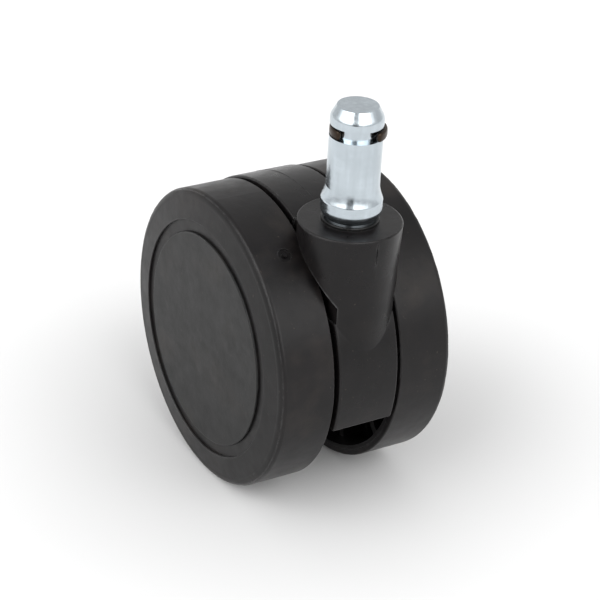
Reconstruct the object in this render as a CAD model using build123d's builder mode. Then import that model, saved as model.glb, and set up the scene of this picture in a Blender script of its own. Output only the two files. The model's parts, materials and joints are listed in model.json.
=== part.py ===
"""Twin-wheel chair caster on an 11 mm grip-ring stem.

Frame: origin on the stem axis, where the stem's straight shank begins; +Z up the stem,
+X away from the axle (the wheels trail behind at -X), +Y along the axle to the left wheel.
All sizes are in millimetres.
"""
import os
from math import cos, hypot, radians, sin, sqrt

from build123d import *

# ---------------------------------------------------------------- driving dimensions
WHEEL_R = 32.5           # tread radius, a 65 mm wheel
WHEEL_INNER = 8.0        # inner face of each wheel, from the middle plane
WHEEL_FACE = 21.12       # outermost face of each wheel, from the middle plane
STEM_R = 5.45            # shank of a stem for an 11 mm socket
TRAIL = 21.3             # swivel axis to axle, horizontally
AXLE_DROP = 43.8         # origin down to the axle

# stem, heights from the origin
TIP_Z = 15.3
TIP_R = 4.2
CHAMFER_Z = 13.5         # the tip's chamfer ends here, and a round runs on to the shank
CHAMFER_R = 5.18
SHANK_TOP_Z = 12.4
GROOVE_TOP_Z = 11.4
GROOVE_BOTTOM_Z = 8.9
GROOVE_R = 4.35
FLARE_TOP_Z = -2.0       # below the origin the shank swells a little, and from here it flares
FLARE_TOP_R = 5.5
FLARE_FOOT_Z = -4.6
FLARE_FOOT_R = 6.27
FLARE_SLOPE = 0.15       # how far it leans at its top
COLLAR_R = 6.35
COLLAR_TOP_Z = -4.9
COLLAR_LOW_Z = -6.35
COLLAR_BOTTOM_Z = -8.75
COLLAR_FOOT_R = 5.3
COLLAR_ROUND = 2.6       # radius of its rounded underside
JOURNAL_R = 5.2          # swivel journal below the collar
JOURNAL_END_Z = -34.6
CLIP_GROOVE_R = 4.5
CLIP_TOP_Z = -30.6
CLIP_THICK = 1.0
TOE_R = 2.4              # rounded lower end, standing on the thrust disc
THRUST_Z = -37.0         # top of the thrust disc

# grip ring: a split ring of spring steel, lying a little to one side in its groove
RING_R = 5.47
RING_WALL = 0.92
RING_HEIGHT = 2.0
RING_CROWN = 0.3         # its outer face bulges by this much
RING_LIFT = 0.05         # above the groove's lower wall
RING_GAP = 96.0          # opening, degrees
RING_GAP_AT = -28.0      # direction of the opening, degrees from +X
RING_OFFSET = 0.18       # across the opening

# hood: the swivelling body between the wheels
HOOD_R = 32.85
HOOD_HALF = 7.05         # half its width
HOOD_WALL = 2.8
HOOD_LOW = 9.1           # its lower edge, below the axle
HOOD_ROUND = 0.45        # its outer edges
WEB_HALF = 1.3
AXLE_BOSS_R = 8.0
RIB_THICK = 1.6
RIB_ANGLES = (-10, 80, 109, 138, 166, 194)
RIB_RING_R = 20.5        # a round rib crosses the straight ones, in the hood and the wheels
RIB_INSET = 1.0          # the ribs stand back from the hood's sides
BOSS_TOP_Z = -9.7
BOSS_TOP_R = 10.85
BOSS_R = 10.4
BOSS_TAPER_Z = -19.0     # the taper ends here
BOSS_BOTTOM_Z = -41.0
BOSS_HALF = 6.7          # half the boss's width between the wheels
BOSS_ROUND = 0.35        # its top edge
BOSS_BLEND = 0.5         # where it runs into the hood's outer face
KNIT_X = 10.52           # bottom of the fine knit line down the boss's front
KNIT_WIDTH = 0.2
KNIT_TOP_Z = -10.6
KNIT_LOW_Z = -16.2
WHEEL_CLEAR_R = 34.7     # the boss is cut back to this radius beside the wheels
SOCKET_R = 6.02
SOCKET_FLOOR_Z = -38.6
BUSH_TOP_Z = -9.05       # the bush stands a little out of the boss
BUSH_BOTTOM_Z = -30.0
BUSH_ROUND = 0.3

# axle
AXLE_R = 3.0
AXLE_END = 19.1
AXLE_CLIP_IN = 17.95     # inner face of the retaining clip
AXLE_CLIP_THICK = 0.7
AXLE_GROOVE_R = 2.4

# wheels, widths measured outwards from the middle plane
TREAD_ROUND = 0.3        # the tread's inner edge
RIM_R = 31.2             # tread seat
RIM_BORE_R = 30.3
RIM_DRAFT = 0.5          # the rim is this much thicker at the disc
SHOULDER_R = 30.62       # where the rounded shoulder meets the face
SHOULDER_W = 20.48
SHOULDER_START_W = 19.21
SEAM_ANGLE = 38.0        # the tread ends this far round the shoulder
SEAM_FOOT_W = 19.3
RECESS_R = 25.9          # recess in the face, around the cap
RECESS_W = 20.55
DISC_INNER_W = 18.0
POCKET_R = 22.5          # deeper pocket behind the cap
POCKET_W = 18.9
POCKET_DISC_W = 16.7
HUB_R = 9.0
HUB_END_W = 17.1
HUB_POCKET_R = 7.6
SPOKE_IN_W = 11.5
SPOKE_COUNT = 12
SPOKE_TURN = 17.0        # from +X to the first spoke
GATE_W = 13.0            # moulding mark on the tread: a shallow dish with a nub
GATE_R = 1.45
GATE_DEPTH = 0.5
GATE_NUB_R = 0.6
GATE_NUB = 0.55
GATE_NUB_TAPER = 15
GATE_AT = 56.3           # round the right wheel from +X, and opposite on the left wheel

# running gear beside the hubs
RUN_GAP = 0.05           # radial running clearance
SEAT_GAP = 0.02          # radial gap of a seated part
BUSH_R = 4.3
BUSH_FLANGE_R = 6.2
BUSH_FLANGE = 0.8
WASHER_R = 6.5
WASHER_THICK = 0.7
END_WASHER_R = 5.8
END_WASHER_IN = 17.4

# hub cap
CAP_R = 23.4
CAP_FACE_W = 21.18
CAP_RIM_W = 20.6         # back of its rim, on the floor of the recess
CAP_BACK_W = 19.9
CAP_RING_R = 22.4
CAP_RING_WALL = 1.4
CAP_RING_END_W = 18.95

AXLE_Z = -AXLE_DROP
AXLE_CENTRE = (-TRAIL, 0, AXLE_Z)
AXLE_AXIS = Axis(AXLE_CENTRE, (0, 1, 0))
SIDE_VIEW = Plane(origin=AXLE_CENTRE, x_dir=(1, 0, 0), z_dir=(0, -1, 0))


def section(side):
    """Half-section of a wheel: local x is the radius, local y the width outwards."""
    return Plane(origin=AXLE_CENTRE, x_dir=(0, 0, 1), z_dir=(-side, 0, 0))


def across(side, width):
    """Plane square to the axle, facing outwards."""
    return Plane(origin=(-TRAIL, side * width, AXLE_Z), x_dir=(1, 0, 0), z_dir=(0, side, 0))


def on_tread(side, angle, height):
    """Plane over a point of the tread, facing outwards, at a height above it."""
    outwards = Vector(cos(radians(angle)), 0, sin(radians(angle)))
    middle = Vector(*AXLE_CENTRE) + outwards * (WHEEL_R + height) + Vector(0, side * GATE_W, 0)
    return Plane(origin=middle, x_dir=(0, 1, 0), z_dir=outwards)


def shoulder(angle):
    """Point on the rounded shoulder: 0 degrees on the tread, 90 on the face."""
    turn = radians(angle)
    return (
        SHOULDER_R + (WHEEL_R - SHOULDER_R) * cos(turn),
        SHOULDER_START_W + (SHOULDER_W - SHOULDER_START_W) * sin(turn),
    )


def on_hood_face(edge):
    """True for an edge whose middle lies on the hood's outer round face."""
    middle = edge.position_at(0.5)
    return abs(hypot(middle.X + TRAIL, middle.Z - AXLE_Z) - HOOD_R) < 0.01


def finish(part, name):
    """Label a finished piece and write it out."""
    part.label = name
    export_step(part, f"parts/{name}.step")


os.makedirs("parts", exist_ok=True)

# ---------------------------------------------------------------- stem
with BuildPart() as stem:
    with BuildSketch(Plane.XZ):
        with BuildLine():
            Polyline(
                (0, TIP_Z),
                (TIP_R, TIP_Z),
                (CHAMFER_R, CHAMFER_Z),
            )
            TangentArc(
                (CHAMFER_R, CHAMFER_Z),
                (STEM_R, SHANK_TOP_Z),
                tangent=(CHAMFER_R - TIP_R, CHAMFER_Z - TIP_Z),
            )
            Polyline(
                (STEM_R, SHANK_TOP_Z),
                (STEM_R, GROOVE_TOP_Z),
                (GROOVE_R, GROOVE_TOP_Z),
                (GROOVE_R, GROOVE_BOTTOM_Z),
                (STEM_R, GROOVE_BOTTOM_Z),
                (STEM_R, 0),
            )
            Line((STEM_R, 0), (FLARE_TOP_R, FLARE_TOP_Z))
            flare = TangentArc(
                (FLARE_TOP_R, FLARE_TOP_Z),
                (FLARE_FOOT_R, FLARE_FOOT_Z),
                tangent=(FLARE_SLOPE, -1),
            )
            TangentArc(flare @ 1, (COLLAR_R, COLLAR_TOP_Z), tangent=flare % 1)
            Line((COLLAR_R, COLLAR_TOP_Z), (COLLAR_R, COLLAR_LOW_Z))
            RadiusArc((COLLAR_R, COLLAR_LOW_Z), (COLLAR_FOOT_R, COLLAR_BOTTOM_Z), COLLAR_ROUND)
            Polyline(
                (COLLAR_FOOT_R, COLLAR_BOTTOM_Z),
                (JOURNAL_R, COLLAR_BOTTOM_Z),
                (JOURNAL_R, CLIP_TOP_Z + 0.05),
                (CLIP_GROOVE_R, CLIP_TOP_Z + 0.05),
                (CLIP_GROOVE_R, CLIP_TOP_Z - CLIP_THICK - 0.05),
                (JOURNAL_R, CLIP_TOP_Z - CLIP_THICK - 0.05),
                (JOURNAL_R, JOURNAL_END_Z),
                (TOE_R, THRUST_Z + 0.5),
                (0, THRUST_Z + 0.1),
                (0, TIP_Z),
            )
        make_face()
    revolve(axis=Axis.Z)
    tip_edge = stem.edges().group_by(Axis.Z)[-1]
    fillet(tip_edge, 0.15)
finish(stem.part, "stem")

# ---------------------------------------------------------------- grip ring
ring_turn = radians(RING_GAP_AT + 90)
ring_x = RING_OFFSET * cos(ring_turn)
ring_y = RING_OFFSET * sin(ring_turn)
ring_z = GROOVE_BOTTOM_Z + RING_LIFT + RING_HEIGHT / 2
ring_start = RING_GAP_AT + RING_GAP / 2
ring_plane = Plane(
    origin=(ring_x, ring_y, ring_z),
    x_dir=(cos(radians(ring_start)), sin(radians(ring_start)), 0),
    z_dir=(sin(radians(ring_start)), -cos(radians(ring_start)), 0),
)
with BuildPart() as grip_ring:
    with BuildSketch(ring_plane):
        with BuildLine():
            Polyline(
                (RING_R - RING_CROWN, RING_HEIGHT / 2),
                (RING_R - RING_WALL, RING_HEIGHT / 2),
                (RING_R - RING_WALL, -RING_HEIGHT / 2),
                (RING_R - RING_CROWN, -RING_HEIGHT / 2),
            )
            ThreePointArc(
                (RING_R - RING_CROWN, -RING_HEIGHT / 2),
                (RING_R, 0),
                (RING_R - RING_CROWN, RING_HEIGHT / 2),
            )
        make_face()
    revolve(axis=Axis((ring_x, ring_y, 0), (0, 0, 1)), revolution_arc=360 - RING_GAP)
finish(grip_ring.part, "grip_ring")

# ---------------------------------------------------------------- clip under the bush
with BuildPart() as stem_clip:
    with BuildSketch(Plane.XY.offset(CLIP_TOP_Z - CLIP_THICK)):
        Circle(SOCKET_R - 0.3)
        Circle(CLIP_GROOVE_R + SEAT_GAP, mode=Mode.SUBTRACT)
        with Locations((-SOCKET_R / 2, 0)):
            Rectangle(SOCKET_R, 3.0, mode=Mode.SUBTRACT)
    extrude(amount=CLIP_THICK)
finish(stem_clip.part, "stem_clip")

# ---------------------------------------------------------------- hood
with BuildPart() as hood:
    with BuildSketch(SIDE_VIEW):
        Circle(HOOD_R)
        Circle(HOOD_R - HOOD_WALL, mode=Mode.SUBTRACT)
        with Locations((0, -HOOD_LOW - HOOD_R)):
            Rectangle(2 * HOOD_R + 2, 2 * HOOD_R, mode=Mode.SUBTRACT)
    extrude(amount=HOOD_HALF, both=True)
    with BuildSketch(SIDE_VIEW):
        Circle(HOOD_R - HOOD_WALL / 2)
        with Locations((0, -HOOD_LOW - HOOD_R)):
            Rectangle(2 * HOOD_R + 2, 2 * HOOD_R, mode=Mode.SUBTRACT)
    extrude(amount=WEB_HALF, both=True)
    with BuildSketch(SIDE_VIEW):
        Circle(AXLE_BOSS_R)
    extrude(amount=HOOD_HALF, both=True)
    outer_edges = hood.edges().filter_by(GeomType.CIRCLE).filter_by(
        lambda e: abs(e.radius - HOOD_R) < 0.01
    )
    low_edges = hood.edges().filter_by(Axis.Y).group_by(Axis.Z)[0]
    fillet(outer_edges + low_edges, HOOD_ROUND)
    rib_length = HOOD_R - HOOD_WALL / 2 - AXLE_BOSS_R / 2
    for angle in RIB_ANGLES:
        with BuildSketch(SIDE_VIEW):
            with Locations(Rotation(0, 0, angle)):
                with Locations((AXLE_BOSS_R / 2 + rib_length / 2, 0)):
                    Rectangle(rib_length, RIB_THICK)
        extrude(amount=HOOD_HALF - RIB_INSET, both=True)
    with BuildSketch(SIDE_VIEW):
        Circle(RIB_RING_R + RIB_THICK / 2)
        Circle(RIB_RING_R - RIB_THICK / 2, mode=Mode.SUBTRACT)
        with Locations((0, -HOOD_LOW - HOOD_R)):
            Rectangle(2 * HOOD_R, 2 * HOOD_R, mode=Mode.SUBTRACT)
    extrude(amount=HOOD_HALF - RIB_INSET, both=True)
    # beside the boss the hood is cut back to the boss's flat sides
    flat_top = BOSS_TOP_Z + 1
    flat_foot = AXLE_Z + sqrt(HOOD_R**2 - (TRAIL + sqrt(BOSS_R**2 - BOSS_HALF**2)) ** 2)
    for side in (1, -1):
        with Locations((0, side * (BOSS_HALF + 1), (flat_top + flat_foot) / 2)):
            Box(2 * BOSS_R, 2, flat_top - flat_foot, mode=Mode.SUBTRACT)
    with BuildSketch(Plane.XZ):
        with BuildLine():
            Polyline(
                (0, BOSS_TOP_Z),
                (BOSS_TOP_R, BOSS_TOP_Z),
                (BOSS_R, BOSS_TAPER_Z),
                (BOSS_R, BOSS_BOTTOM_Z),
                (0, BOSS_BOTTOM_Z),
                (0, BOSS_TOP_Z),
            )
        make_face()
    # the boss is whole above the wheels and cut flat between them
    boss_body = revolve(axis=Axis.Z, mode=Mode.PRIVATE)
    between = Pos(0, 0, (BOSS_TOP_Z + BOSS_BOTTOM_Z) / 2) * Box(
        4 * BOSS_TOP_R, 2 * BOSS_HALF, BOSS_TOP_Z - BOSS_BOTTOM_Z + 2, mode=Mode.PRIVATE
    )
    wheel_room = Pos(*AXLE_CENTRE) * Rot(90, 0, 0) * Cylinder(
        WHEEL_CLEAR_R, 6 * BOSS_TOP_R, mode=Mode.PRIVATE
    )
    above = boss_body - wheel_room
    middle = boss_body & between
    add(above)
    add(middle)
    join_edges = hood.edges().filter_by(GeomType.BSPLINE).filter_by(
        lambda e: e.length > BOSS_HALF and on_hood_face(e)
    )
    fillet(join_edges, BOSS_BLEND)
    with BuildSketch(Plane.XY.offset(SOCKET_FLOOR_Z)):
        Circle(SOCKET_R)
    extrude(amount=BOSS_TOP_Z - SOCKET_FLOOR_Z + 1, mode=Mode.SUBTRACT)
    with BuildSketch(SIDE_VIEW):
        Circle(AXLE_R + SEAT_GAP)
    extrude(amount=HOOD_HALF + 1, both=True, mode=Mode.SUBTRACT)
    rim_edges = hood.edges().filter_by(GeomType.CIRCLE).group_by(Axis.Z)[-1].sort_by(SortBy.RADIUS)
    fillet(rim_edges[-1], BOSS_ROUND)
    with Locations((KNIT_X + 0.5, 0, (KNIT_TOP_Z + KNIT_LOW_Z) / 2)):
        Box(1, KNIT_WIDTH, KNIT_TOP_Z - KNIT_LOW_Z, mode=Mode.SUBTRACT)
finish(hood.part, "hood")

# ---------------------------------------------------------------- swivel bush and thrust disc
with BuildPart() as stem_bush:
    with BuildSketch(Plane.XY.offset(BUSH_BOTTOM_Z)):
        Circle(SOCKET_R - SEAT_GAP)
        Circle(JOURNAL_R + RUN_GAP, mode=Mode.SUBTRACT)
    extrude(amount=BUSH_TOP_Z - BUSH_BOTTOM_Z)
    bush_rim = stem_bush.edges().group_by(Axis.Z)[-1].sort_by(SortBy.RADIUS)[-1]
    fillet(bush_rim, BUSH_ROUND)
finish(stem_bush.part, "stem_bush")

with BuildPart() as thrust_disc:
    with BuildSketch(Plane.XY.offset(SOCKET_FLOOR_Z)):
        Circle(SOCKET_R - 0.1)
    extrude(amount=THRUST_Z - SOCKET_FLOOR_Z)
    chamfer(thrust_disc.edges().group_by(Axis.Z)[-1], 0.3)
finish(thrust_disc.part, "thrust_disc")

# ---------------------------------------------------------------- axle
with BuildPart() as axle:
    with BuildSketch(section(1)):
        with BuildLine():
            Polyline(
                (0, 0),
                (AXLE_R, 0),
                (AXLE_R, AXLE_CLIP_IN),
                (AXLE_GROOVE_R, AXLE_CLIP_IN),
                (AXLE_GROOVE_R, AXLE_CLIP_IN + AXLE_CLIP_THICK),
                (AXLE_R, AXLE_CLIP_IN + AXLE_CLIP_THICK),
                (AXLE_R - 0.3, AXLE_END),
                (0, AXLE_END),
                (0, 0),
            )
        make_face()
    revolve(axis=AXLE_AXIS)
    mirror(about=Plane.XZ)
finish(axle.part, "axle")

# ---------------------------------------------------------------- one wheel on each side
for side, hand, gate_angle in ((1, "left", GATE_AT + 180), (-1, "right", GATE_AT)):
    seam = shoulder(SEAM_ANGLE)

    with BuildPart() as tread:
        with BuildSketch(section(side)):
            with BuildLine():
                Polyline(
                    seam,
                    (RIM_R, SEAM_FOOT_W),
                    (RIM_R, WHEEL_INNER),
                    (WHEEL_R - TREAD_ROUND, WHEEL_INNER),
                )
                RadiusArc(
                    (WHEEL_R - TREAD_ROUND, WHEEL_INNER),
                    (WHEEL_R, WHEEL_INNER + TREAD_ROUND),
                    -TREAD_ROUND,
                )
                Line((WHEEL_R, WHEEL_INNER + TREAD_ROUND), (WHEEL_R, SHOULDER_START_W))
                ThreePointArc(shoulder(0), shoulder(SEAM_ANGLE / 2), seam)
            make_face()
        revolve(axis=AXLE_AXIS)
        with BuildSketch(on_tread(side, gate_angle, -GATE_DEPTH)):
            Circle(GATE_R)
        extrude(amount=2 * GATE_DEPTH, mode=Mode.SUBTRACT)
        with BuildSketch(on_tread(side, gate_angle, -GATE_DEPTH)):
            Circle(GATE_NUB_R)
        extrude(amount=GATE_NUB, taper=GATE_NUB_TAPER)
    finish(tread.part, f"tread_{hand}")

    with BuildPart() as wheel_core:
        with BuildSketch(section(side)):
            with BuildLine():
                Polyline(
                    seam,
                    (RIM_R, SEAM_FOOT_W),
                    (RIM_R, WHEEL_INNER),
                    (RIM_BORE_R, WHEEL_INNER),
                    (RIM_BORE_R - RIM_DRAFT, DISC_INNER_W),
                    (POCKET_R + 2, DISC_INNER_W),
                    (POCKET_R, POCKET_DISC_W),
                    (HUB_R, POCKET_DISC_W),
                    (HUB_R, WHEEL_INNER),
                    (BUSH_R, WHEEL_INNER),
                    (BUSH_R, HUB_END_W - BUSH_FLANGE),
                    (BUSH_FLANGE_R, HUB_END_W - BUSH_FLANGE),
                    (BUSH_FLANGE_R, HUB_END_W),
                    (HUB_POCKET_R, HUB_END_W),
                    (HUB_POCKET_R, POCKET_W),
                    (POCKET_R, POCKET_W),
                    (POCKET_R, RECESS_W),
                    (RECESS_R, RECESS_W),
                    (RECESS_R, WHEEL_FACE - 0.15),
                    (RECESS_R + 0.15, WHEEL_FACE),
                    shoulder(90),
                )
                ThreePointArc(shoulder(90), shoulder((90 + SEAM_ANGLE) / 2), seam)
            make_face()
        revolve(axis=AXLE_AXIS)
        spoke_length = RIM_BORE_R - HUB_R + 0.5
        with BuildSketch(across(side, SPOKE_IN_W)):
            Circle(RIB_RING_R + RIB_THICK / 2)
            Circle(RIB_RING_R - RIB_THICK / 2, mode=Mode.SUBTRACT)
            with PolarLocations(HUB_R + spoke_length / 2 - 0.3, SPOKE_COUNT, start_angle=SPOKE_TURN):
                Rectangle(spoke_length, RIB_THICK)
        extrude(amount=POCKET_DISC_W - SPOKE_IN_W + 0.5)
    finish(wheel_core.part, f"wheel_core_{hand}")

    with BuildPart() as hub_bush:
        with BuildSketch(section(side)):
            Polygon(
                (AXLE_R + RUN_GAP, WHEEL_INNER + 0.1),
                (BUSH_R - SEAT_GAP, WHEEL_INNER + 0.1),
                (BUSH_R - SEAT_GAP, HUB_END_W - BUSH_FLANGE),
                (BUSH_FLANGE_R - SEAT_GAP, HUB_END_W - BUSH_FLANGE),
                (BUSH_FLANGE_R - SEAT_GAP, HUB_END_W),
                (AXLE_R + RUN_GAP, HUB_END_W),
                align=None,
            )
        revolve(axis=AXLE_AXIS)
    finish(hub_bush.part, f"hub_bush_{hand}")

    with BuildPart() as side_washer:
        with BuildSketch(across(side, HOOD_HALF)):
            Circle(WASHER_R)
            Circle(AXLE_R + SEAT_GAP, mode=Mode.SUBTRACT)
        extrude(amount=WASHER_THICK)
    finish(side_washer.part, f"side_washer_{hand}")

    with BuildPart() as end_washer:
        with BuildSketch(across(side, END_WASHER_IN)):
            Circle(END_WASHER_R)
            Circle(AXLE_R + SEAT_GAP, mode=Mode.SUBTRACT)
        extrude(amount=AXLE_CLIP_IN - END_WASHER_IN)
    finish(end_washer.part, f"end_washer_{hand}")

    with BuildPart() as axle_clip:
        with BuildSketch(across(side, AXLE_CLIP_IN)):
            Circle(END_WASHER_R - 0.6)
            Circle(AXLE_GROOVE_R + SEAT_GAP, mode=Mode.SUBTRACT)
            with Locations((-END_WASHER_R / 2, 0)):
                Rectangle(END_WASHER_R, 3.4, mode=Mode.SUBTRACT)
        extrude(amount=AXLE_CLIP_THICK)
    finish(axle_clip.part, f"axle_clip_{hand}")

    with BuildPart() as hub_cap:
        with BuildSketch(section(side)):
            Polygon(
                (0, CAP_BACK_W),
                (CAP_RING_R - CAP_RING_WALL, CAP_BACK_W),
                (CAP_RING_R - CAP_RING_WALL, CAP_RING_END_W),
                (CAP_RING_R, CAP_RING_END_W),
                (CAP_RING_R, CAP_RIM_W),
                (CAP_R, CAP_RIM_W),
                (CAP_R, CAP_FACE_W),
                (0, CAP_FACE_W),
                align=None,
            )
        revolve(axis=AXLE_AXIS)
        rim_edge = hub_cap.edges().filter_by(
            lambda e: abs(abs(e.center().Y) - CAP_FACE_W) < 0.01
        )
        fillet(rim_edge, 0.25)
    finish(hub_cap.part, f"hub_cap_{hand}")
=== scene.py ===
import json
import math

import bmesh
import bpy
from mathutils import Matrix, Vector, noise


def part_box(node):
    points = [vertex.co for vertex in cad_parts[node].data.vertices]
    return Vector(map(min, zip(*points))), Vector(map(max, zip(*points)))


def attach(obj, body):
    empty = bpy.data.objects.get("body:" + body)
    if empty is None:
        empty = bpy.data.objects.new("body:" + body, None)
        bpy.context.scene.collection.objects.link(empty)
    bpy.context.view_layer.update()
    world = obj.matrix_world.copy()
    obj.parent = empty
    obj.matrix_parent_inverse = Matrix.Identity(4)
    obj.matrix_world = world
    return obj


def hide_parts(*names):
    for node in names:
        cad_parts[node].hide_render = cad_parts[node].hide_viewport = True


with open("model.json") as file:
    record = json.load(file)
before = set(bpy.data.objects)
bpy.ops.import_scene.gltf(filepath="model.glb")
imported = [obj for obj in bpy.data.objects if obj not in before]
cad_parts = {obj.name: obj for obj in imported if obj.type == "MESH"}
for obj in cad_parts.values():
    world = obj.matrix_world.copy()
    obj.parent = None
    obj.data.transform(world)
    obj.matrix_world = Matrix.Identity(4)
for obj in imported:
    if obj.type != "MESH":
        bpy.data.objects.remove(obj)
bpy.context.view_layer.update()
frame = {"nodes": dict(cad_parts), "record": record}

MM = 0.001
UP = Vector((0, 0, 1))

# ---------------------------------------------------------------- the frame's main places, in metres
axle_low, axle_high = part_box("axle")
AXLE = (axle_low + axle_high) / 2
FLOOR_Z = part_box("tread_right")[0].z

# ---------------------------------------------------------------- camera, at the photograph's angle
VIEW_AZIMUTH = 57.99
VIEW_ELEVATION = 28.66
VIEW_ROLL = -3.48
VIEW_DISTANCE = 448.74 * MM
VIEW_TARGET = AXLE + Vector((-0.56, 2.91, 3.65)) * MM
LENS_MM = 123.64
SENSOR_MM = 36
VIEW_NEAR = 0.01
VIEW_FAR = 50


def direction(azimuth, elevation):
    """Unit vector at an azimuth, from -Y towards +X, and an elevation, in degrees."""
    turn, tilt = math.radians(azimuth), math.radians(elevation)
    return Vector((math.sin(turn) * math.cos(tilt), -math.cos(turn) * math.cos(tilt), math.sin(tilt)))


def add_camera():
    """The camera looks at a point beside the axle's middle, and is rolled a little."""
    back = direction(VIEW_AZIMUTH, VIEW_ELEVATION)
    level = UP.cross(back).normalized()
    rise = back.cross(level)
    roll = math.radians(VIEW_ROLL)
    right = level * math.cos(roll) - rise * math.sin(roll)
    up = back.cross(right)
    turn = Matrix((right, up, back)).transposed()
    data = bpy.data.cameras.new("camera")
    data.lens = LENS_MM
    data.sensor_width = SENSOR_MM
    data.clip_start = VIEW_NEAR
    data.clip_end = VIEW_FAR
    camera = bpy.data.objects.new("camera", data)
    camera.matrix_world = Matrix.Translation(VIEW_TARGET + back * VIEW_DISTANCE) @ turn.to_4x4()
    bpy.context.scene.collection.objects.link(camera)
    bpy.context.scene.camera = camera


# ---------------------------------------------------------------- nodes
TEXTURE_MIDDLE = (0.3, 0.7)  # where most of a noise texture's values lie
BEVEL_SAMPLES = 6
EDGE_BEND = (0.995, 0.93)    # cosines between which a rounded-off normal counts as more and more of an edge


class Nodes:
    """Short forms for building the nodes of a material or a world."""

    def __init__(self, tree, coordinates):
        self.tree = tree
        self.place = tree.nodes.new("ShaderNodeTexCoord").outputs[coordinates]

    def link(self, output, target):
        self.tree.links.new(output, target)

    def feed(self, value, target):
        """A socket is linked to another node's output, or set to a number."""
        if isinstance(value, (int, float)):
            target.default_value = value
        else:
            self.link(value, target)

    def calc(self, operation, first, second=0.0):
        node = self.tree.nodes.new("ShaderNodeMath")
        node.operation = operation
        self.feed(first, node.inputs[0])
        self.feed(second, node.inputs[1])
        return node.outputs["Value"]

    def stretched(self, scale):
        """Coordinates scaled by a different number along each axis."""
        node = self.tree.nodes.new("ShaderNodeMapping")
        node.inputs["Scale"].default_value = scale
        self.link(self.place, node.inputs["Vector"])
        return node.outputs["Vector"]

    def noise(self, scale, detail, place=None):
        node = self.tree.nodes.new("ShaderNodeTexNoise")
        node.inputs["Scale"].default_value = scale
        node.inputs["Detail"].default_value = detail
        self.link(place or self.place, node.inputs["Vector"])
        return node.outputs["Fac"]

    def spread(self, value, low, high, source=TEXTURE_MIDDLE, soft=False):
        """Maps a range of a value to low..high."""
        node = self.tree.nodes.new("ShaderNodeMapRange")
        node.interpolation_type = "SMOOTHSTEP" if soft else "LINEAR"
        node.inputs["From Min"].default_value = source[0]
        node.inputs["From Max"].default_value = source[1]
        node.inputs["To Min"].default_value = low
        node.inputs["To Max"].default_value = high
        self.link(value, node.inputs["Value"])
        return node.outputs["Result"]

    def along(self, reach):
        """How far the coordinates reach along a direction."""
        node = self.tree.nodes.new("ShaderNodeVectorMath")
        node.operation = "DOT_PRODUCT"
        node.inputs[1].default_value = reach
        self.link(self.place, node.inputs[0])
        return node.outputs["Value"]

    def distance(self, point):
        """How far the coordinates lie from a point."""
        node = self.tree.nodes.new("ShaderNodeVectorMath")
        node.operation = "DISTANCE"
        node.inputs[1].default_value = point
        self.link(self.place, node.inputs[0])
        return node.outputs["Value"]

    def between(self, value, dark, light):
        """A colour between two colours, each given as numbers or as a socket."""
        node = self.tree.nodes.new("ShaderNodeMix")
        node.data_type = "RGBA"
        for name, colour in (("A", dark), ("B", light)):
            if isinstance(colour, tuple):
                node.inputs[name].default_value = (*colour, 1)
            else:
                self.link(colour, node.inputs[name])
        self.link(value, node.inputs["Factor"])
        return node.outputs["Result"]

    def bump(self, height, distance, under=None):
        """A bumped normal, on top of another one if it is given."""
        node = self.tree.nodes.new("ShaderNodeBump")
        node.inputs["Distance"].default_value = distance
        self.link(height, node.inputs["Height"])
        if under is not None:
            self.link(under, node.inputs["Normal"])
        return node.outputs["Normal"]

    def edges(self, radius):
        """1 along sharp and narrowly rounded edges, fading to 0 within the radius."""
        bevel = self.tree.nodes.new("ShaderNodeBevel")
        bevel.samples = BEVEL_SAMPLES
        bevel.inputs["Radius"].default_value = radius
        flat = self.tree.nodes.new("ShaderNodeNewGeometry").outputs["Normal"]
        node = self.tree.nodes.new("ShaderNodeVectorMath")
        node.operation = "DOT_PRODUCT"
        self.link(bevel.outputs["Normal"], node.inputs[0])
        self.link(flat, node.inputs[1])
        return self.spread(node.outputs["Value"], 0, 1, EDGE_BEND)


class Finish(Nodes):
    """The nodes of one material."""

    def __init__(self, name):
        self.material = bpy.data.materials.new(name)
        self.material.use_nodes = True
        super().__init__(self.material.node_tree, "Object")
        self.shader = self.tree.nodes["Principled BSDF"]


# ---------------------------------------------------------------- light and floor
SKY_LEVEL = 0.75         # strength of the pale surroundings
LAMP_LEVEL = 3.8         # strength of the large soft lights on both sides of the photographer
LAMP_AZIMUTH = 50.0      # their middle, as the camera's azimuth is given
LAMP_CORE = 45.0         # the even part and the faded edge, degrees to each side of that middle
LAMP_EDGE = 100.0
LAMP_FOOT = (6.0, 24.0)  # the light fades in between these elevations
LAMP_TOP = (50.0, 66.0)  # and out between these
PERSON_AZIMUTH = 52.0    # the photographer's dark shape between the lights
PERSON_WIDTH = 0.24      # half its width, as seen from the object one metre away
PERSON_BLUR = 0.03       # its sides fade over this much to each side
PERSON_TOP = 62.0
PERSON_TOP_FADE = 5      # degrees
PERSON_LEVEL = 0.15
ZENITH_GUARD = 0.001     # keeps a division from reaching zero straight overhead
FLOOR_R = 4
FLOOR_CORNERS = 96
FLOOR_ALBEDO = 0.68
FLOOR_ROUGHNESS = 0.9
FLOOR_GLOW = 0.17        # the floor's own glow, a painted light, which fades out below the object into painted shade
FLOOR_DARK_R = 20 * MM
FLOOR_CLEAR_R = 95 * MM


def sine(angle):
    return math.sin(math.radians(angle))


def cosine(angle):
    return math.cos(math.radians(angle))


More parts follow.
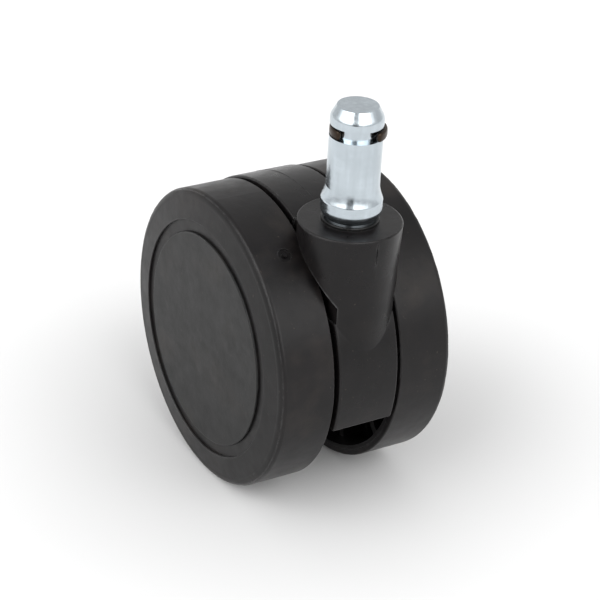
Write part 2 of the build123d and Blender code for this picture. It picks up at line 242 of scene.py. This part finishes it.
def add_studio():
    """Large soft lights beside the camera, in pale surroundings, with the photographer between them."""
    world = bpy.data.worlds.new("studio")
    world.use_nodes = True
    n = Nodes(world.node_tree, "Generated")
    height = n.along(UP)
    level = n.calc("SQRT", n.calc("SUBTRACT", 1.0, n.calc("MULTIPLY", height, height)))
    toward = n.calc("DIVIDE", n.along(direction(LAMP_AZIMUTH, 0)), n.calc("MAXIMUM", level, ZENITH_GUARD))
    lamp = n.spread(toward, 0, LAMP_LEVEL - SKY_LEVEL, (cosine(LAMP_EDGE), cosine(LAMP_CORE)), soft=True)
    over_foot = n.spread(height, 0, 1, [sine(e) for e in LAMP_FOOT], soft=True)
    under_top = n.spread(height, 1, 0, [sine(e) for e in LAMP_TOP], soft=True)
    lit = n.calc("MULTIPLY", lamp, n.calc("MULTIPLY", over_foot, under_top))
    bright = n.calc("ADD", lit, SKY_LEVEL)

    ahead = direction(PERSON_AZIMUTH, 0)
    aside = n.calc("ABSOLUTE", n.along(UP.cross(ahead)))
    inside = n.calc("SUBTRACT", n.calc("MULTIPLY", n.along(ahead), PERSON_WIDTH), aside)
    beside = n.spread(inside, 1, 0, (-PERSON_BLUR, PERSON_BLUR), soft=True)
    over = n.spread(height, 0, 1, (sine(PERSON_TOP - PERSON_TOP_FADE), sine(PERSON_TOP)), soft=True)
    clear = n.spread(n.calc("MAXIMUM", beside, over), PERSON_LEVEL, 1, (0, 1))
    background = world.node_tree.nodes["Background"]
    background.inputs["Color"].default_value = (1, 1, 1, 1)
    n.link(n.calc("MULTIPLY", bright, clear), background.inputs["Strength"])
    bpy.context.scene.world = world


def add_floor():
    """A plain pale floor, wide enough to fill every view. It glows a little, a painted light that keeps
    shadows faint, and glows less below the object, which paints shade there.
    """
    bpy.ops.mesh.primitive_circle_add(
        vertices=FLOOR_CORNERS, radius=FLOOR_R, fill_type="NGON", location=(0, 0, FLOOR_Z))
    floor = bpy.context.object
    floor.name = "floor"
    n = Finish("pale_floor")
    n.shader.inputs["Base Color"].default_value = (FLOOR_ALBEDO, FLOOR_ALBEDO, FLOOR_ALBEDO, 1)
    n.shader.inputs["Roughness"].default_value = FLOOR_ROUGHNESS
    n.shader.inputs["Specular IOR Level"].default_value = 0
    n.shader.inputs["Emission Color"].default_value = (1, 1, 1, 1)
    away = n.distance((AXLE.x, AXLE.y, 0))
    # painted light on the floor, fading to painted shade below the object
    glow = n.spread(away, 0, FLOOR_GLOW, (FLOOR_DARK_R, FLOOR_CLEAR_R), soft=True)
    n.link(glow, n.shader.inputs["Emission Strength"])
    floor.data.materials.append(n.material)


# ---------------------------------------------------------------- materials
# A texture is its scale, about the features to a metre, and its detail. A stretched one has a scale
# for each axis.
PLASTIC_IOR = 1.325
DUST = (0.060, 0.047, 0.039)
# the lighter colour along edges: partly wear, partly a painted highlight
EDGE_WEAR_AND_HIGHLIGHT = (0.16, 0.16, 0.16)
DRIFT = (120, 3)                     # slow change of colour
SPECKS = (1500, 1)                   # single grains of dust
SPECK_RANGE = (0.74, 0.80)
SPECK_STRENGTH = 0.5
SMEARS = (90, 6)                     # wiped dust
SMEAR_RANGE = (0.52, 0.72)
WEAR_AND_HIGHLIGHT_BREAKUP = (500, 4)                   # breaks up the wear and the painted highlight along the edges
EDGE_R = 0.5 * MM
EDGE_POLISH = 0.12                   # how much smoother the edges are
SHEEN = (350, 5)
SHEEN_SPREAD = (0.04, 0.05)          # roughness below and above the given one
WAVES = (260, 3)                     # uneven cooling
WAVE_DEPTH = 0.06 * MM
SCRATCH_STRETCH = (260, 2600, 420)
SCRATCH_DETAIL = 4
SCRATCH_RANGE = (0.62, 0.70)
SCRATCH_DEPTH = 0.004 * MM
GRAIN = (4000, 2)                    # the mould's texture
GRAIN_DEPTH = 0.012 * MM

STAIN = 0.72                         # a stain's brightness against the clean metal's
STAIN_PATCHES = (260, 5)
STREAK_STRETCH = (900, 900, 90)
STREAK_DETAIL = 5
BAND_STRETCH = (40, 40, 700)
BAND_DETAIL = 2
STAIN_LEAST = 0.3                    # how far patches and streaks darken
BAND_LEAST = 0.6
METAL_SHEEN = (900, 6)
METAL_SHEEN_SPREAD = (0.06, 0.07)
TURNING_STRETCH = (60, 60, 5000)     # the rings that turning leaves
TURNING_DETAIL = 3
TURNING_DEPTH = 0.006 * MM
PITS = (1100, 4)
PIT_DEPTH = 0.004 * MM


def moulded(name, dark, light, roughness, dusty=0.1, wear_and_highlight=0.1):
    """Black moulded plastic: mould texture, colour drift, uneven sheen, dust, and lighter edges that are
    partly wear and partly a painted highlight.
    """
    n = Finish(name)
    drift = n.between(n.spread(n.noise(*DRIFT), 0, 1), dark, light)
    specks = n.spread(n.noise(*SPECKS), 0, 1, SPECK_RANGE)
    smears = n.spread(n.noise(*SMEARS), 0, dusty, SMEAR_RANGE)
    edge = n.edges(EDGE_R)
    # edges painted lighter: partly wear, partly a painted highlight
    rubbed_and_highlit = n.calc("MULTIPLY", edge, n.spread(n.noise(*WEAR_AND_HIGHLIGHT_BREAKUP), 0, wear_and_highlight))
    dust = n.calc("MAXIMUM", n.calc("MULTIPLY", specks, SPECK_STRENGTH), smears)
    n.link(n.between(rubbed_and_highlit, n.between(dust, drift, DUST), EDGE_WEAR_AND_HIGHLIGHT), n.shader.inputs["Base Color"])
    n.shader.inputs["IOR"].default_value = PLASTIC_IOR
    sheen = n.spread(n.noise(*SHEEN), roughness - SHEEN_SPREAD[0], roughness + SHEEN_SPREAD[1])
    polished = n.calc("SUBTRACT", sheen, n.calc("MULTIPLY", edge, EDGE_POLISH))
    n.link(polished, n.shader.inputs["Roughness"])
    waves = n.bump(n.noise(*WAVES), WAVE_DEPTH)
    scratches = n.noise(1, SCRATCH_DETAIL, n.stretched(SCRATCH_STRETCH))
    scuffed = n.bump(n.spread(scratches, 0, 1, SCRATCH_RANGE), SCRATCH_DEPTH, waves)
    n.link(n.bump(n.noise(*GRAIN), GRAIN_DEPTH, scuffed), n.shader.inputs["Normal"])
    return n.material


def plated(name, colour, roughness):
    """Plated or bare steel with the faint rings that turning leaves, streaks and stains."""
    n = Finish(name)
    stained = tuple(c * STAIN for c in colour)
    streaks = n.noise(1, STREAK_DETAIL, n.stretched(STREAK_STRETCH))
    bands = n.noise(1, BAND_DETAIL, n.stretched(BAND_STRETCH))
    patches = n.spread(n.noise(*STAIN_PATCHES), STAIN_LEAST, 1)
    tint = n.calc("MULTIPLY", patches, n.spread(streaks, STAIN_LEAST, 1))
    tint = n.calc("MULTIPLY", tint, n.spread(bands, BAND_LEAST, 1))
    n.link(n.between(tint, stained, colour), n.shader.inputs["Base Color"])
    n.shader.inputs["Metallic"].default_value = 1
    smoothest, roughest = roughness - METAL_SHEEN_SPREAD[0], roughness + METAL_SHEEN_SPREAD[1]
    n.link(n.spread(n.noise(*METAL_SHEEN), smoothest, roughest), n.shader.inputs["Roughness"])
    turned = n.bump(n.noise(1, TURNING_DETAIL, n.stretched(TURNING_STRETCH)), TURNING_DEPTH)
    n.link(n.bump(n.noise(*PITS), PIT_DEPTH, turned), n.shader.inputs["Normal"])
    return n.material


def all_finishes():
    """A material for each slot of the record."""
    return {
        "bright_zinc": plated("bright_zinc", (0.64, 0.71, 0.76), 0.19),
        "spring_steel": plated("spring_steel", (0.055, 0.040, 0.030), 0.30),
        "plain_steel": plated("plain_steel", (0.50, 0.50, 0.51), 0.30),
        "hood_nylon": moulded(
            "hood_nylon", (0.004, 0.0035, 0.0037), (0.007, 0.006, 0.0063), 0.30, dusty=0.08, wear_and_highlight=0.35),
        "wheel_nylon": moulded(
            "wheel_nylon", (0.004, 0.0036, 0.0037), (0.007, 0.006, 0.0063), 0.41, dusty=0.10),
        "tread_polyurethane": moulded(
            "tread_polyurethane", (0.004, 0.0035, 0.0037), (0.008, 0.0067, 0.007), 0.36,
            dusty=0.22, wear_and_highlight=0.2),
        "cap_nylon": moulded(
            "cap_nylon", (0.004, 0.004, 0.004), (0.007, 0.007, 0.007), 0.41, dusty=0.12),
        "bush_acetal": moulded(
            "bush_acetal", (0.004, 0.004, 0.004), (0.006, 0.006, 0.006), 0.22, dusty=0.05),
    }


def paint_nodes(finishes):
    """Gives each node of the frame its material, by the record's slot."""
    slots = {s["node"]: s["material_slot"] for s in frame["record"]["subparts"]}
    for node, piece in frame["nodes"].items():
        piece.data.materials.clear()
        piece.data.materials.append(finishes[slots[node]])


# ---------------------------------------------------------------- mesh pieces
def swept(name, rows, closed):
    """A tube through rows of points, one row for each section; its ends are filled if it is open."""
    mesh = bmesh.new()
    loops = [[mesh.verts.new(p) for p in row] for row in rows]
    pairs = list(zip(loops, loops[1:]))
    if closed:
        pairs.append((loops[-1], loops[0]))
    for here, there in pairs:
        for i in range(len(here)):
            j = (i + 1) % len(here)
            mesh.faces.new((here[i], here[j], there[j], there[i]))
    if not closed:
        mesh.faces.new(reversed(loops[0]))
        mesh.faces.new(loops[-1])
    bmesh.ops.recalc_face_normals(mesh, faces=mesh.faces)
    data = bpy.data.meshes.new(name)
    mesh.to_mesh(data)
    mesh.free()
    data.shade_smooth()
    piece = bpy.data.objects.new(name, data)
    bpy.context.scene.collection.objects.link(piece)
    return piece


def dress(piece, body, slot, finishes):
    """Gives a piece the material of a slot, and the body that it moves with."""
    piece.data.materials.append(finishes[slot])
    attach(piece, body)


RING_FREE_R = 5.80 * MM      # the grip ring's crown at rest, wider than the shank
RING_INNER_R = 4.74 * MM
RING_SHIFT = 0.35 * MM       # how far it lies to one side in its groove
RING_GAP_AT = -30.0          # middle and width of its gap, degrees from +X
RING_GAP = 88.0
RING_STEPS = 120
RING_SIDES = 28
RING_SQUARENESS = 0.62       # below 1 the section's corners fill out from an ellipse
RING_END_STEPS = 3           # the section grows to its full size over this many steps from each end
RING_END_SIZE = 0.4          # and starts at this part of it


def add_grip_ring(finishes):
    """The split spring ring at rest, sprung open: crowned outside, with rounded ends."""
    low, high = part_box("grip_ring")
    middle_z, half_height = (low.z + high.z) / 2, (high.z - low.z) / 2
    middle_r, half_wall = (RING_FREE_R + RING_INNER_R) / 2, (RING_FREE_R - RING_INNER_R) / 2
    across = math.radians(RING_GAP_AT + 90)
    centre = Vector((math.cos(across), math.sin(across), 0)) * RING_SHIFT
    start, span = RING_GAP_AT + RING_GAP / 2, 360 - RING_GAP

    def squared(value):
        return math.copysign(abs(value) ** RING_SQUARENESS, value)

    rows = []
    for step in range(RING_STEPS + 1):
        along = step / RING_STEPS
        angle = math.radians(start + span * along)
        outward = Vector((math.cos(angle), math.sin(angle), 0))
        to_end = min(along, 1 - along) * RING_STEPS
        rounding = math.sqrt(1 - (1 - min(to_end / RING_END_STEPS, 1)) ** 2)
        size = rounding * (1 - RING_END_SIZE) + RING_END_SIZE
        row = []
        for side in range(RING_SIDES):
            turn = math.tau * side / RING_SIDES
            radius = middle_r + half_wall * size * squared(math.cos(turn))
            rise = half_height * size * squared(math.sin(turn))
            row.append(centre + outward * radius + UP * (middle_z + rise))
        rows.append(row)
    ring = swept("grip_ring_sprung", rows, closed=False)
    dress(ring, "stem", "spring_steel", finishes)
    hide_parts("grip_ring")


SEAM_R = 32.08 * MM          # the moulding seam round each wheel's shoulder
SEAM_Y = 19.99 * MM
SEAM_THICK = 0.065 * MM
SEAM_PROUD_AT = 55.0         # it stands proudest here, degrees from +X, and is nearly flush opposite
PARTING_THICK = 0.05 * MM    # the hood's parting line, over its top and down its back
PARTING_FROM = 78.0          # its ends, degrees from +X
PARTING_TO = 168.0
PARTING_STEPS = 240
FLASH_STEPS = 720            # along a full turn
FLASH_SIDES = 6
FLASH_COARSE = 16            # scales of the two noises that make a line ragged
FLASH_FINE = 60
FLASH_FINE_SHARE = 0.5
FLASH_SWELL = 0.5            # how much they change its thickness
FLASH_WANDER = 0.3           # and its distance from the axle, as parts of the thickness


def flash_line(name, radius, y, thick, first=0.0, last=360.0, steps=FLASH_STEPS, flush=0.0):
    """A thin ragged line of moulding flash round the axle, at a distance y from the middle plane.

    flush is how far the line sinks into the surface opposite its proudest place.
    """
    closed = last - first >= 360
    rows = []
    for step in range(steps if closed else steps + 1):
        angle = math.radians(first + (last - first) * step / steps)
        outward = Vector((math.cos(angle), 0, math.sin(angle)))
        coarse = noise.noise(outward * FLASH_COARSE + Vector((0, y / MM, 0)))
        rough = coarse + FLASH_FINE_SHARE * noise.noise(outward * FLASH_FINE)
        size = thick * (1 + FLASH_SWELL * rough)
        sunk = flush * (1 - math.cos(angle - math.radians(SEAM_PROUD_AT))) / 2
        place = AXLE + outward * (radius + thick * FLASH_WANDER * rough - sunk) + Vector((0, y, 0))
        row = []
        for side in range(FLASH_SIDES):
            turn = math.tau * side / FLASH_SIDES
            row.append(place + outward * size * math.cos(turn) + Vector((0, size * math.sin(turn), 0)))
        rows.append(row)
    return swept(name, rows, closed)


def add_flash(finishes):
    """The seams round both wheels, and the parting line over the hood."""
    for side, hand in ((1, "left"), (-1, "right")):
        seam = flash_line(f"shoulder_seam_{hand}", SEAM_R, side * SEAM_Y, SEAM_THICK, flush=SEAM_THICK)
        dress(seam, f"wheel_{hand}", "tread_polyurethane", finishes)
    hood_r = AXLE.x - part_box("hood")[0].x
    line = flash_line(
        "hood_parting_line", hood_r, 0.0, PARTING_THICK, PARTING_FROM, PARTING_TO, PARTING_STEPS)
    dress(line, "swivel_hood", "hood_nylon", finishes)


bpy.context.scene.view_settings.view_transform = "Standard"
add_camera()
add_studio()
add_floor()
all_materials = all_finishes()
paint_nodes(all_materials)
add_grip_ring(all_materials)
add_flash(all_materials)
